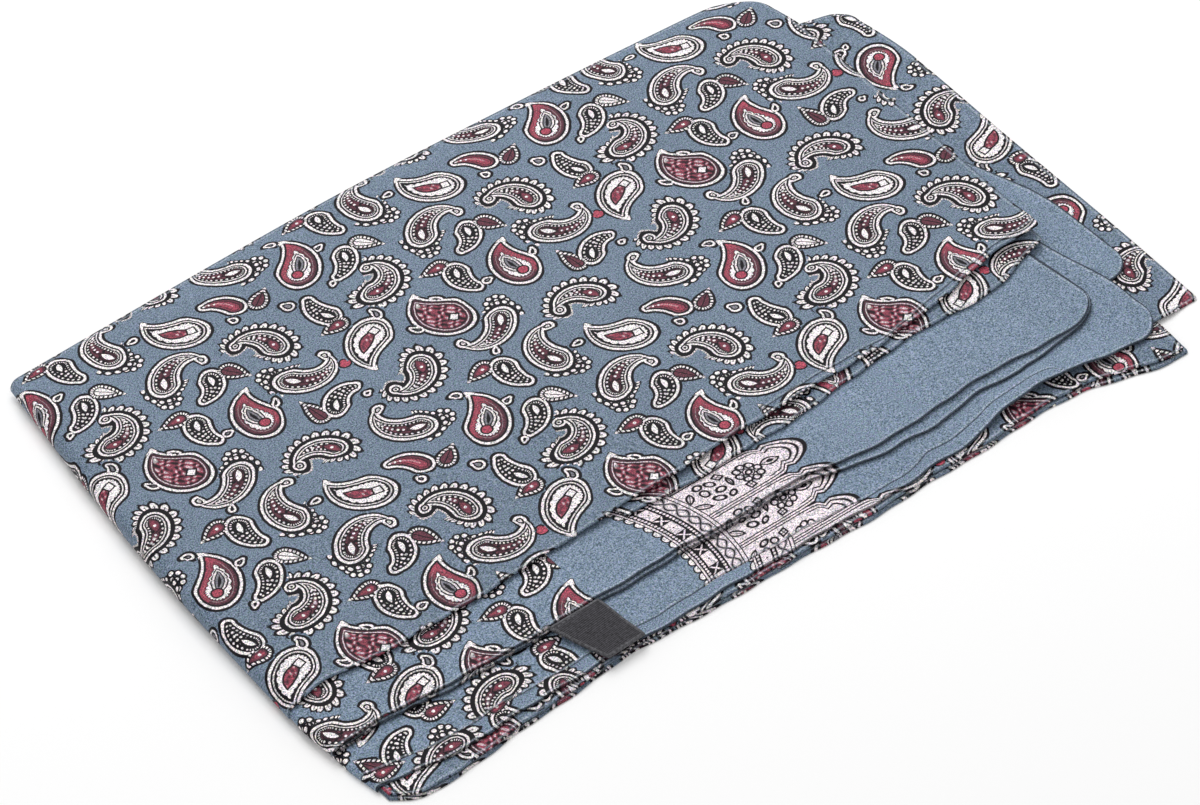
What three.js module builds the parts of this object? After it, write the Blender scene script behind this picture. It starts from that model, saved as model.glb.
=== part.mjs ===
// Silk scarf, two plies thick, folded into quarters and laid flat on a table.
// Millimetres. +X runs along the long side of the folded scarf, +Y to its back, +Z up.
// The origin is the middle of its footprint, on the table.
//
// Every stretch of cloth that shows is one body: a wall that rests on the stretches
// below it and comes down to the next level past their edges. The stretches that are
// hidden inside the stack share one rounded core, grooved where its folds end.

import * as THREE from 'three';

// ---- driving dimensions ----
const CLOTH_WALL = 1.0; // wall of each body: two silk plies and the air between them
const LAY_GAP = 0.3; // clear space between two bodies that lie on each other
const LEVEL = CLOTH_WALL + LAY_GAP; // height that one stretch adds to the stack
const DRAPE_CLEAR = 3; // cloth stays level this far past the edge below it
const DRAPE_FALL = 15; // then comes down to the next level over this length
const HIDDEN_CLEAR = 20; // past an edge inside the stack it stays level this far
const HIDDEN_FALL = 80; // and comes down over this length

const LEVELS_UNDER_TOP = 7; // stretches stacked under the right end of the top panel
const TOP_MID = CLOTH_WALL / 2 + LEVEL * LEVELS_UNDER_TOP; // mid height of the top panel
const TURN_RADIUS = 4.6; // soft fold along the left side of the top panel
const TURN_FOOT = 2.2; // height where that fold ends, above the base panel

const CORE_FOLDS = 4; // hidden folds that show as ridges at the side of the core
const CORE_RIDGE = 1.6; // how far each ridge stands out

const PRINTED_SILK = { color: 0x6d8499, roughness: 0.55, metalness: 0 };
const PLAIN_SILK = { color: 0x66809a, roughness: 0.5, metalness: 0 };
const LABEL_SATIN = { color: 0x2c2d33, roughness: 0.45, metalness: 0 };

// ---- small maths ----
const clamp01 = (v) => Math.min(1, Math.max(0, v));
const lerp = (a, b, t) => a + (b - a) * t;

function smooth(from, to, v) {
  const t = clamp01((v - from) / (to - from));
  return t * t * (3 - 2 * t);
}

// 1 at the centre, 0 from half a width away
function bump(centre, halfWidth, v) {
  return 1 - smooth(0, halfWidth, Math.abs(v - centre));
}

// value of the smooth curve through rows [{[key], [out]}, ...] at v; level past its ends
function curve(rows, key, out, v) {
  if (v <= rows[0][key]) return rows[0][out];
  const last = rows.length - 1;
  if (v >= rows[last][key]) return rows[last][out];
  const i = rows.findIndex((row) => row[key] > v) - 1;
  const slope = (k) => {
    const before = rows[Math.max(0, k - 1)];
    const after = rows[Math.min(last, k + 1)];
    return (after[out] - before[out]) / (after[key] - before[key]);
  };
  const width = rows[i + 1][key] - rows[i][key];
  const t = (v - rows[i][key]) / width;
  const rise = rows[i + 1][out] - rows[i][out];
  const m0 = slope(i) * width;
  const m1 = slope(i + 1) * width;
  return rows[i][out] + t * (m0 + t * (3 * rise - 2 * m0 - m1 + t * (m0 + m1 - 2 * rise)));
}

// how far a rounded corner pulls an edge in, at a distance from the side it meets
function cornerPull(radius, distance) {
  if (radius === 0) return 0;
  const reach = Math.min(radius, Math.max(0, radius - distance));
  return radius - Math.sqrt(radius * radius - reach * reach);
}

// ---- the stretches, from the table up ----
// front and back: edge rows by x. left and right: side rows by t, 0 at the front edge and
// 1 at the back edge. frontCorner and backCorner round the right-hand corners. hidden
// lists the sides that end inside the stack. columns and rows set the grid of each body.
// Rows run from front to back, closer together at the edges that drape.
const FLAT_ROWS = [0, 0.12, 0.35, 0.65, 0.9, 1];
const STRIP_ROWS = [0, 0.15, 0.4, 1];
const PANEL_ROWS = [0, 0.03, 0.06, 0.1, 0.15, 0.22, 0.45, 0.72, 0.93, 1];
const CORE_ROWS = [0, 0.06, 0.3, 0.7, 0.94, 1];

const BASE = {
  name: 'base_panel',
  finish: PRINTED_SILK,
  front: [
    { x: -222, y: -139 }, { x: -205, y: -145 }, { x: -140, y: -148 }, { x: -66, y: -145 },
    { x: 0, y: -150 }, { x: 126, y: -153 }, { x: 152, y: -162 }, { x: 182, y: -172 },
  ],
  back: [{ x: -206, y: 163 }, { x: 180, y: 146 }],
  left: [{ t: 0, x: -221 }, { t: 0.2, x: -222.5 }, { t: 0.6, x: -216 }, { t: 1, x: -203 }],
  right: [{ t: 0, x: 181 }, { t: 0.08, x: 184 }, { t: 1, x: 180 }],
  frontCorner: 2,
  backCorner: 12,
  hidden: [],
  columns: 14,
  rows: FLAT_ROWS,
};

// second lower stretch, which shows along the front; its edge waves in plan
const FRONT_FOLD = {
  name: 'front_fold',
  finish: PRINTED_SILK,
  front: [
    { x: -221, y: -137 }, { x: -204, y: -143.5 }, { x: -140, y: -146.5 }, { x: -66, y: -143.5 },
    { x: 0, y: -148 }, { x: 80, y: -151 }, { x: 112, y: -147 }, { x: 140, y: -153 },
    { x: 181, y: -168.5 },
  ],
  back: [{ x: -221, y: -100 }, { x: 20, y: -104 }, { x: 148, y: -150 }, { x: 181, y: -153.5 }],
  left: [{ t: 0, x: -220 }, { t: 1, x: -221 }],
  right: [{ t: 0, x: 180 }, { t: 1, x: 183 }],
  frontCorner: 2,
  backCorner: 0,
  hidden: ['back'],
  columns: 22,
  rows: STRIP_ROWS,
};

// stretch that shows past the right side, with square corners
const BACK_PANEL = {
  name: 'back_panel',
  finish: PRINTED_SILK,
  front: [{ x: 158, y: -149 }, { x: 186, y: -150 }, { x: 207, y: -152 }],
  back: [{ x: 158, y: 133 }, { x: 202, y: 119 }, { x: 226, y: 111 }],
  left: [{ t: 0, x: 160 }, { t: 1, x: 152 }],
  right: [
    { t: 0, x: 207 }, { t: 0.2, x: 213 }, { t: 0.5, x: 220.5 }, { t: 0.85, x: 229 },
    { t: 1, x: 228.5 },
  ],
  frontCorner: 2,
  backCorner: 9,
  hidden: ['left'],
  columns: 9,
  rows: PANEL_ROWS,
};

// plain end that shows as a curved tongue right of the top panel
const REAR_FLAP = {
  name: 'rear_flap',
  finish: PLAIN_SILK,
  front: [{ x: 120, y: -118 }, { x: 206, y: -118 }],
  back: [{ x: 120, y: 18 }, { x: 197, y: 18 }],
  left: [{ t: 0, x: 122 }, { t: 1, x: 122 }],
  right: [{ t: 0, x: 205.5 }, { t: 0.35, x: 205.5 }, { t: 0.62, x: 200.5 }, { t: 1, x: 188 }],
  frontCorner: 13,
  backCorner: 6,
  hidden: ['left', 'back'],
  columns: 11,
  rows: PANEL_ROWS,
};

const OUTER_FLAP = {
  name: 'outer_flap',
  finish: PLAIN_SILK,
  front: [
    { x: -217, y: -133 }, { x: -190, y: -139 }, { x: -60, y: -140 }, { x: 76, y: -143.5 },
    { x: 129, y: -148 }, { x: 170, y: -155 }, { x: 186, y: -157 },
  ],
  back: [{ x: -217, y: 20 }, { x: 186, y: 20 }],
  left: [{ t: 0, x: -216 }, { t: 0.15, x: -217.5 }, { t: 0.3, x: -217 }, { t: 1, x: -210 }],
  right: [{ t: 0, x: 186.5 }, { t: 0.18, x: 185.5 }, { t: 0.42, x: 180.5 }, { t: 1, x: 178 }],
  frontCorner: 17,
  backCorner: 4,
  hidden: ['back'],
  columns: 18,
  rows: PANEL_ROWS,
};

const INNER_FLAP_LOWER = {
  name: 'inner_flap_lower',
  finish: PLAIN_SILK,
  front: [
    { x: -215, y: -107 }, { x: -195, y: -112 }, { x: -134, y: -117.5 }, { x: -80, y: -120 },
    { x: 8, y: -124 }, { x: 45, y: -134.5 }, { x: 90, y: -134 }, { x: 142, y: -138 },
    { x: 173, y: -138 },
  ],
  back: [{ x: -215, y: 20 }, { x: 173, y: 20 }],
  left: [{ t: 0, x: -214 }, { t: 0.2, x: -216.5 }, { t: 1, x: -209 }],
  right: [{ t: 0, x: 173 }, { t: 0.2, x: 172 }, { t: 1, x: 168 }],
  frontCorner: 17,
  backCorner: 4,
  hidden: ['back'],
  columns: 18,
  rows: PANEL_ROWS,
};

const INNER_FLAP_UPPER = {
  name: 'inner_flap_upper',
  finish: PLAIN_SILK,
  front: [
    { x: -214, y: -104.5 }, { x: -195, y: -109 }, { x: -134, y: -114.5 }, { x: -80, y: -117.5 },
    { x: 8, y: -120.5 }, { x: 45, y: -130 }, { x: 90, y: -129.5 }, { x: 142, y: -134.5 },
    { x: 171, y: -135 },
  ],
  back: [{ x: -214, y: 20 }, { x: 171, y: 20 }],
  left: [{ t: 0, x: -212.5 }, { t: 0.2, x: -215 }, { t: 1, x: -208 }],
  right: [{ t: 0, x: 171 }, { t: 0.2, x: 170 }, { t: 1, x: 166 }],
  frontCorner: 16,
  backCorner: 4,
  hidden: ['back'],
  columns: 18,
  rows: PANEL_ROWS,
};

// margin of the top panel, turned under along its front fold
const FRONT_RETURN = {
  name: 'front_return',
  finish: PRINTED_SILK,
  front: [
    { x: -62, y: -86 }, { x: -10, y: -91 }, { x: 56, y: -91.5 }, { x: 110, y: -88.5 },
    { x: 182, y: -86 },
  ],
  back: [{ x: -62, y: -62 }, { x: 182, y: -62 }],
  left: [{ t: 0, x: -58 }, { t: 1, x: -62 }],
  right: [{ t: 0, x: 181 }, { t: 1, x: 183 }],
  frontCorner: 3,
  backCorner: 0,
  hidden: ['left', 'back'],
  columns: 26,
  rows: STRIP_ROWS,
};

const TOP_PANEL = {
  name: 'top_panel',
  finish: PRINTED_SILK,
  front: [
    { x: -230, y: -82 }, { x: -205, y: -74 }, { x: -175, y: -79 }, { x: -118, y: -82 },
    { x: -85, y: -81 }, { x: -20, y: -86.5 }, { x: 50, y: -80.5 }, { x: 125, y: -78.5 },
    { x: 184, y: -80 },
  ],
  back: [
    { x: -208, y: 171 }, { x: -40, y: 169.5 }, { x: 65, y: 162.5 }, { x: 166, y: 153 },
    { x: 200, y: 148 },
  ],
  left: [{ t: 0, x: -226 }, { t: 0.5, x: -219 }, { t: 1, x: -205 }],
  right: [{ t: 0, x: 183.5 }, { t: 0.35, x: 191 }, { t: 0.9, x: 200 }, { t: 1, x: 199 }],
  frontCorner: 2,
  backCorner: 22,
  hidden: [],
  columns: 20,
  rows: PANEL_ROWS,
};

// woven loop caught in the seam of the inner flap, lying out over the outer flap
const CARE_LABEL = {
  name: 'care_label',
  finish: LABEL_SATIN,
  front: [{ x: -116, y: -143 }, { x: -93, y: -145 }],
  back: [{ x: -118, y: -117.2 }, { x: -95, y: -118.6 }],
  left: [{ t: 0, x: -114.5 }, { t: 1, x: -117.5 }],
  right: [{ t: 0, x: -94 }, { t: 1, x: -95.5 }],
  frontCorner: 0,
  backCorner: 0,
  hidden: [],
  columns: 5,
  rows: STRIP_ROWS,
};

// the hidden stretches between the lower panels and the top panel, behind the flaps
const CORE = {
  name: 'hidden_core',
  finish: PLAIN_SILK,
  front: [{ x: -218, y: 25 }, { x: 185, y: 25 }],
  back: [{ x: -206, y: 151 }, { x: 65, y: 143.5 }, { x: 190, y: 133 }],
  left: [{ t: 0, x: -213 }, { t: 1, x: -198 }],
  right: [{ t: 0, x: 183 }, { t: 0.6, x: 188 }, { t: 1, x: 186 }],
  frontCorner: 6,
  backCorner: 28,
  hidden: [],
  columns: 14,
  rows: CORE_ROWS,
};
const CORE_STEP = { from: 40, to: 115 }; // its floor climbs onto the back panel between these

// what lies on each level of the stack, from the table up; stretches on one level lie side
// by side
const STACK = [
  [BASE], [FRONT_FOLD, BACK_PANEL], [REAR_FLAP], [OUTER_FLAP], [INNER_FLAP_LOWER],
  [INNER_FLAP_UPPER], [FRONT_RETURN], [TOP_PANEL],
];
const LABEL_LEVEL = STACK.findIndex((level) => level.includes(INNER_FLAP_UPPER));
const CORE_LEVEL = 1;

function levelOf(layer) {
  if (layer === CARE_LABEL) return LABEL_LEVEL;
  if (layer === CORE) return CORE_LEVEL;
  return STACK.findIndex((level) => level.includes(layer));
}

// ---- plan of a stretch ----
const leftX = (layer, t) => curve(layer.left, 't', 'x', t);
const rightX = (layer, t) => curve(layer.right, 't', 'x', t);

function frontY(layer, x) {
  return curve(layer.front, 'x', 'y', x) + cornerPull(layer.frontCorner, rightX(layer, 0) - x);
}

function backY(layer, x) {
  return curve(layer.back, 'x', 'y', x) - cornerPull(layer.backCorner, rightX(layer, 1) - x);
}

// how far a stretch carries what lies on it: 1 over its outline, 0 well outside
function cover(layer, x, y) {
  const front = frontY(layer, x);
  const back = backY(layer, x);
  const t = clamp01((y - front) / (back - front));
  const outside = {
    front: front - y, back: y - back, right: x - rightX(layer, t), left: leftX(layer, t) - x,
  };
  let share = 1;
  for (const [side, distance] of Object.entries(outside)) {
    const inStack = layer.hidden.includes(side);
    const clear = inStack ? HIDDEN_CLEAR : DRAPE_CLEAR;
    const fall = inStack ? HIDDEN_FALL : DRAPE_FALL;
    share = Math.min(share, 1 - smooth(clear, clear + fall, distance));
  }
  return share;
}

// ---- height of a stretch ----
// the free front margins stand up a little: where, how wide and how high
const MARGIN_LIFTS = new Map([
  [OUTER_FLAP, { x: 118, halfWidth: 62, depth: 9, height: 1.4 }],
]);

// the right end of the top panel's front fold is open by this much more
const OPEN_FOLD = { x: 172, halfWidth: 85, depth: 26, height: 2.2 };

function lifted(layer, lift, x, y) {
  if (!lift) return 0;
  const inward = y - curve(layer.front, 'x', 'y', x);
  return lift.height * bump(lift.x, lift.halfWidth, x) * (1 - smooth(0, lift.depth, inward));
}

// underside of what rests on the lowest levels of the stack
function restHeight(levels, x, y) {
  let height = 0;
  for (const side of STACK.slice(0, levels)) {
    const carried = side.map((layer) => (
      cover(layer, x, y) * (LEVEL + lifted(layer, MARGIN_LIFTS.get(layer), x, y))
    ));
    height += Math.max(...carried);
  }
  return height;
}

// mid surface of the top panel: level, settled at the left front and along the back
function topHeight(x, y) {
  const settledFront = 2.2 * (1 - smooth(-100, -20, x)) * (1 - smooth(-70, 0, y));
  const settledBack = 2.6 * smooth(-16, 0, y - curve(TOP_PANEL.back, 'x', 'y', x));
  return TOP_MID - settledFront - settledBack + lifted(TOP_PANEL, OPEN_FOLD, x, y);
}

function midHeight(layer, x, y) {
  if (layer === TOP_PANEL) return topHeight(x, y);
  const lift = lifted(layer, MARGIN_LIFTS.get(layer), x, y);
  return restHeight(levelOf(layer), x, y) + CLOTH_WALL / 2 + lift;
}

// ---- grids ----
// stations along X: even, then closer round the right-hand corners
function stations(layer) {
  const width = rightX(layer, 0) - leftX(layer, 0);
  const reach = Math.max(layer.frontCorner, layer.backCorner, 4) / width;
  const turns = 4;
  const list = [];
  const count = layer.columns;
  for (let i = 0; i <= count; i += 1) list.push((1 - reach) * (i / count));
  for (let i = 1; i <= turns; i += 1) {
    list.push(1 - reach + reach * Math.sin((i / turns) * (Math.PI / 2)));
  }
  return list;
}

function planPoint(layer, s, t) {
  const x = lerp(leftX(layer, t), rightX(layer, t), s);
  return { x, y: lerp(frontY(layer, x), backY(layer, x), t) };
}

// grid of points over a stretch, at heightAt(x, y)
function gridOver(layer, heightAt) {
  return layer.rows.map((t) => stations(layer).map((s) => {
    const { x, y } = planPoint(layer, s, t);
    return new THREE.Vector3(x, y, heightAt(x, y));
  }));
}

// the top panel with its left side turned down: extra columns from the foot up the turn
function topGrid() {
  const turnSteps = 4;
  return TOP_PANEL.rows.map((t) => {
    const side = leftX(TOP_PANEL, t);
    const points = [];
    const start = { x: side + TURN_RADIUS };
    start.y = lerp(frontY(TOP_PANEL, start.x), backY(TOP_PANEL, start.x), t);
    const roof = topHeight(start.x, start.y);
    points.push(new THREE.Vector3(side, start.y, TURN_FOOT));
    for (let i = 0; i < turnSteps; i += 1) {
      const angle = (Math.PI / 2) * (1 - i / turnSteps);
      const x = start.x - TURN_RADIUS * Math.sin(angle);
      const z = roof - TURN_RADIUS + TURN_RADIUS * Math.cos(angle);
      points.push(new THREE.Vector3(x, start.y, z));
    }
    for (const s of stations(TOP_PANEL)) {
      const x = lerp(start.x, rightX(TOP_PANEL, t), s);
      const y = lerp(frontY(TOP_PANEL, x), backY(TOP_PANEL, x), t);
      points.push(new THREE.Vector3(x, y, topHeight(x, y)));
    }
    return points;
  });
}

// ---- closed bodies ----
const between = (grid, r, c) => {
  const row = Math.min(grid.length - 1, Math.max(0, r));
  const column = Math.min(grid[0].length - 1, Math.max(0, c));
  return grid[row][column];
};

function gridNormal(grid, r, c) {
  const across = between(grid, r, c + 1).clone().sub(between(grid, r, c - 1));
  const along = between(grid, r + 1, c).clone().sub(between(grid, r - 1, c));
  return across.cross(along).normalize();
}

// direction pointing out of the sheet at a rim point
function rimDirection(grid, r, c) {
  const out = new THREE.Vector3();
  const here = grid[r][c];
  const add = (row, column) => out.add(here.clone().sub(between(grid, row, column)).normalize());
  if (r === 0) add(1, c);
  if (r === grid.length - 1) add(r - 1, c);
  if (c === 0) add(r, 1);
  if (c === grid[0].length - 1) add(r, c - 1);
  return out.normalize();
}

// grid positions round the rim, anticlockwise seen from above
function rimLoop(rows, columns) {
  const loop = [];
  for (let c = 0; c < columns - 1; c += 1) loop.push([0, c]);
  for (let r = 0; r < rows - 1; r += 1) loop.push([r, columns - 1]);
  for (let c = columns - 1; c > 0; c -= 1) loop.push([rows - 1, c]);
  for (let r = rows - 1; r > 0; r -= 1) loop.push([r, 0]);
  return loop;
}

// closed mesh between two grids, its rim following profile [{ rise, out }, ...] upward
function closedMesh(layer, upper, lower, profile) {
  const rows = upper.length;
  const columns = upper[0].length;
  const loop = rimLoop(rows, columns);
  const points = [...upper.flat(), ...lower.flat()];
  const lowerStart = rows * columns;
  const index = [];
  const quad = (a, b, c, d) => index.push(a, b, c, a, c, d);
  for (let r = 0; r < rows - 1; r += 1) {
    for (let c = 0; c < columns - 1; c += 1) {
      const k = r * columns + c;
      quad(k, k + 1, k + columns + 1, k + columns);
      const m = k + lowerStart;
      quad(m, m + columns, m + columns + 1, m + 1);
    }
  }
  const rings = [loop.map(([r, c]) => lowerStart + r * columns + c)];
  for (const { rise, out } of profile) {
    rings.push(loop.map(([r, c]) => {
      const point = lower[r][c].clone().lerp(upper[r][c], rise);
      point.addScaledVector(rimDirection(upper, r, c), out);
      points.push(point);
      return points.length - 1;
    }));
  }
  rings.push(loop.map(([r, c]) => r * columns + c));
  for (let k = 0; k < rings.length - 1; k += 1) {
    for (let i = 0; i < loop.length; i += 1) {
      const j = (i + 1) % loop.length;
      quad(rings[k][i], rings[k][j], rings[k + 1][j], rings[k + 1][i]);
    }
  }
  const geometry = new THREE.BufferGeometry().setFromPoints(points);
  geometry.setIndex(index);
  geometry.computeVertexNormals();
  const mesh = new THREE.Mesh(geometry, new THREE.MeshStandardMaterial(layer.finish));
  mesh.name = layer.name;
  return mesh;
}

// cloth body: the mid surface given its wall, with a rounded rim
function clothMesh(layer, grid) {
  const shifted = (distance) => grid.map((row, r) => row.map((point, c) => (
    point.clone().addScaledVector(gridNormal(grid, r, c), distance)
  )));
  const rim = [{ rise: 0.5, out: CLOTH_WALL * 0.35 }];
  return closedMesh(layer, shifted(CLOTH_WALL / 2), shifted(-CLOTH_WALL / 2), rim);
}

// one solid for the hidden folds, ridged at its sides where each fold turns back
function coreMesh() {
  const step = (x) => LEVEL * smooth(CORE_STEP.from, CORE_STEP.to, x);
  const roof = gridOver(CORE, (x, y) => topHeight(x, y) - CLOTH_WALL / 2 - LAY_GAP);
  const floor = gridOver(CORE, (x, y) => restHeight(CORE_LEVEL, x, y) + step(x));
  const profile = [];
  for (let fold = 0; fold < CORE_FOLDS; fold += 1) {
    if (fold > 0) profile.push({ rise: fold / CORE_FOLDS, out: 0 });
    profile.push({ rise: (fold + 0.3) / CORE_FOLDS, out: CORE_RIDGE });
    profile.push({ rise: (fold + 0.7) / CORE_FOLDS, out: CORE_RIDGE });
  }
  return closedMesh(CORE, roof, floor, profile);
}

// ---- assembly ----
const group = new THREE.Group();
group.name = 'silk_scarf';

for (const layer of [...STACK.flat(), CARE_LABEL]) {
  const grid = layer === TOP_PANEL ? topGrid() : gridOver(layer, (x, y) => midHeight(layer, x, y));
  group.add(clothMesh(layer, grid));
}
group.add(coreMesh());

// the origin is put at the middle of the footprint
const footprint = new THREE.Box3().setFromObject(group).getCenter(new THREE.Vector3());
for (const mesh of group.children) mesh.geometry.translate(-footprint.x, -footprint.y, 0);

export default group;
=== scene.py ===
from collections import namedtuple

import bpy
import numpy as np
from mathutils import Matrix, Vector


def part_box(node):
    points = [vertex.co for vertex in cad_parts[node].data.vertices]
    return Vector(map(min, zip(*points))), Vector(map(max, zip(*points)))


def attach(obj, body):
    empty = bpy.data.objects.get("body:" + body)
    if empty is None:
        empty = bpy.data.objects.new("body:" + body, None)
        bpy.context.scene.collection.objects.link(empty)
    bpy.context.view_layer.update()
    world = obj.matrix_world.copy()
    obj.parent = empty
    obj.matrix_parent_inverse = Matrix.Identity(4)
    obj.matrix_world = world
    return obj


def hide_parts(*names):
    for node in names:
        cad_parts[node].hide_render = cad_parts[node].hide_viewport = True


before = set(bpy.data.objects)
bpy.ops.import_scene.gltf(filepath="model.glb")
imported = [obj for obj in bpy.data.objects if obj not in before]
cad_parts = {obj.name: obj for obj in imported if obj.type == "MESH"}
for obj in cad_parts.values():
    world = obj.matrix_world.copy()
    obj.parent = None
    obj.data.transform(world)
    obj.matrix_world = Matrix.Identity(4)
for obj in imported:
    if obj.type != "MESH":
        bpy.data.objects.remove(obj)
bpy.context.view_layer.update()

MM = 0.001

# ---- camera: its place in millimetres, and its own right, up and backward directions ----
CAMERA_PLACE = (-721.6, -1132.3, 1253.6)
CAMERA_RIGHT = (0.78219, -0.61351, -0.10856)
CAMERA_UP = (0.48972, 0.49768, 0.71588)
CAMERA_BACK = (-0.38518, -0.61312, 0.68973)
LENS_MM = 126.0


def add_object(name, data, axes=None, place=(0, 0, 0)):
    """Object in the scene; axes are the columns of its turn."""
    thing = bpy.data.objects.new(name, data)
    if axes is not None:
        turn = np.eye(4)
        turn[:3, :3], turn[:3, 3] = axes, place
        thing.matrix_world = Matrix(turn.tolist())
    bpy.context.scene.collection.objects.link(thing)
    return thing


def set_camera():
    """Camera with its three directions made exactly square to each other."""
    data = bpy.data.cameras.new("scarf_camera")
    data.sensor_width, data.lens = 36.0, LENS_MM
    data.clip_start, data.clip_end = 0.05, 20.0
    into, _, out_of = np.linalg.svd(np.array([CAMERA_RIGHT, CAMERA_UP, CAMERA_BACK]).T)
    bpy.context.scene.camera = add_object("scarf_camera", data, into @ out_of,
                                          np.array(CAMERA_PLACE) * MM)


set_camera()

# ================= cloth, from the table up =================
CLOTH_WALL = 1.0  # room that two plies take in the stack
LEVEL = 1.3  # height that one stretch adds to the stack
SILK = 0.64  # thickness of the two plies as they are drawn
# cloth stays up this far past an edge that it lies over, then falls over this distance
DRAPE, HIDDEN_DRAPE = (3, 15), (20, 80)  # past a visible edge, and past one inside the stack
LEVELS_UNDER_TOP = 7
TOP_MID = CLOTH_WALL / 2 + LEVEL * LEVELS_UNDER_TOP
# soft folds along the left sides: radius, and height where the fold ends
TURNS = dict(top_panel=(4.6, 2.2), inner_flap_upper=(2.2, 2.6), outer_flap=(1.3, 0.5))
FOOT_CLEAR = 0.3  # least height of the straight part below a turn
CREASE_STEP = 0.35  # how far a creased margin lies lower
NO_CREASE = 99.0  # distance inside a crease where there is none

# front and back are edge rows (x, y); left and right are side rows (t, x), with t 0 at the
# front edge and 1 at the back; corners round the right-hand corners; hidden sides end
# inside the stack. fine is how much of the depth has rows step apart, the rest is coarse.
Stretch = namedtuple("Stretch", "front back left right corners hidden fine step")

STRETCHES = dict(
    base_panel=Stretch(
        front=[(-222, -137), (-211, -146), (-196, -146.8), (-146, -144.8), (-105, -143.6),
               (-87, -144.4), (-56, -148.4), (-26, -149.4), (-6, -151.9), (14, -153.4),
               (54, -154.9), (94, -156.4), (119, -156.9), (134, -159.4), (144, -163.4),
               (154, -167.4), (164, -170.9), (182, -173)],
        back=[(-206, 163), (180, 146)],
        left=[(0, -221), (0.2, -222.5), (0.6, -216), (1, -203)],
        right=[(0, 181), (0.08, 184), (1, 180)],
        corners=(2, 12), hidden=(), fine=40, step=2.0),
    front_fold=Stretch(
        front=[(-221, -136), (-210, -144.6), (-196, -145.6), (-146, -143.6), (-105, -142.4),
               (-87, -143), (-56, -147), (-26, -148), (-6, -150.4), (14, -151.8),
               (54, -153.3), (94, -154.8), (119, -155.2), (134, -157), (144, -160.2),
               (154, -164.2), (164, -168.4), (181, -171.6)],
        back=[(-221, -100), (20, -104), (148, -150), (181, -153.5)],
        left=[(0, -220), (1, -221)], right=[(0, 180), (1, 183)],
        corners=(2, 0), hidden=("back",), fine=60, step=1.6),
    back_panel=Stretch(
        front=[(158, -149), (186, -150), (207, -152)],
        back=[(158, 133), (202, 119), (226, 111)],
        left=[(0, 160), (1, 152)],
        right=[(0, 207), (0.2, 213), (0.5, 220.5), (0.85, 229), (1, 228.5)],
        corners=(2, 9), hidden=("left",), fine=400, step=1.6),
    rear_flap=Stretch(
        front=[(120, -118), (206, -118)], back=[(120, 18), (197, 18)],
        left=[(0, 122), (1, 122)],
        right=[(0, 202), (0.2, 203.5), (0.4, 204), (0.62, 200), (1, 188)],
        corners=(13, 6), hidden=("left", "back"), fine=400, step=2.0),
    outer_flap=Stretch(
        front=[(-222, -131), (-190, -138), (-150, -139.4), (-120, -140.4), (-90, -142.4),
               (-60, -143.8), (-20, -146), (20, -149.4), (45, -151), (60, -150.2), (74, -151.2),
               (86, -149), (96, -148), (125, -148.6), (137, -151), (152, -154.5),
               (167, -156), (186, -156)],
        back=[(-217, 20), (186, 20)],
        left=[(0, -222), (0.12, -224), (0.3, -223.4), (1, -218.5)],
        right=[(0, 185.5), (0.18, 185), (0.42, 180.5), (1, 178)],
        corners=(17, 4), hidden=("back",), fine=60, step=1.4),
    inner_flap_lower=Stretch(
        front=[(-226, -107), (-210, -106.2), (-190, -107), (-165, -111.4), (-134, -113.0),
               (-80, -115.6), (-60, -116.6), (-30, -118.8), (8, -121), (45, -131.8), (60, -133),
               (72, -134.2), (88, -132.4), (98, -132.2), (117, -135.2), (124, -134.2),
               (142, -133.2), (156, -132.4), (173, -132)],
        back=[(-215, 20), (173, 20)],
        left=[(0, -222), (1, -217)],
        right=[(0, 172), (0.2, 171.5), (1, 168)],
        corners=(17, 4), hidden=("back",), fine=12, step=1.4),
    inner_flap_upper=Stretch(
        front=[(-226, -106), (-210, -105), (-190, -105.6), (-165, -109.5), (-134, -111.8),
               (-80, -113.8), (-60, -114.6), (-30, -117.4), (8, -118.8), (45, -127), (60, -128),
               (90, -127.2), (120, -128.8), (142, -131), (156, -131.6), (171, -131)],
        back=[(-214, 20), (171, 20)],
        left=[(0, -224.6), (0.12, -226), (0.22, -225.6), (1, -219.5)],
        right=[(0, 171), (0.2, 170), (1, 166)],
        corners=(16, 4), hidden=("back",), fine=64, step=1.4),
    front_return=Stretch(
        front=[(-62, -86), (-10, -90), (41, -90.5), (61, -89.5), (91, -88), (111, -89),
               (131, -91), (146, -91), (156, -89), (166, -85.5), (176, -82), (182, -81.4)],
        back=[(-62, -62), (182, -62)],
        left=[(0, -58), (1, -62)], right=[(0, 181), (1, 183)],
        corners=(3, 0), hidden=("left", "back"), fine=14, step=1.4),
    top_panel=Stretch(
        front=[(-230, -81), (-222, -76), (-205, -73.5), (-175, -78), (-118, -80), (-85, -80),
               (-45, -81.5), (-20, -82.5), (10, -82.3), (50, -83.3), (75, -84), (95, -83),
               (115, -82), (130, -79.5), (150, -77), (165, -75.8), (184, -76.3)],
        back=[(-208, 171), (-40, 169.5), (65, 162.5), (166, 153), (200, 148)],
        left=[(0, -226), (0.5, -219), (1, -205)],
        right=[(0, 183.5), (0.35, 191), (0.9, 200), (1, 199)],
        corners=(2, 22), hidden=(), fine=400, step=1.7),
    care_label=Stretch(
        front=[(-112, -141.6), (-90, -141.8)], back=[(-122, -113.8), (-94, -115.2)],
        left=[(0, -112), (1, -120.5)], right=[(0, -94), (1, -96.5)],
        corners=(0, 0), hidden=(), fine=400, step=0.8),
    hidden_core=Stretch(
        front=[(-218, 25), (185, 25)], back=[(-206, 151), (65, 143.5), (190, 133)],
        left=[(0, -213), (1, -198)], right=[(0, 183), (0.6, 188), (1, 186)],
        corners=(6, 28), hidden=(), fine=400, step=6.0),
)
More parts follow.
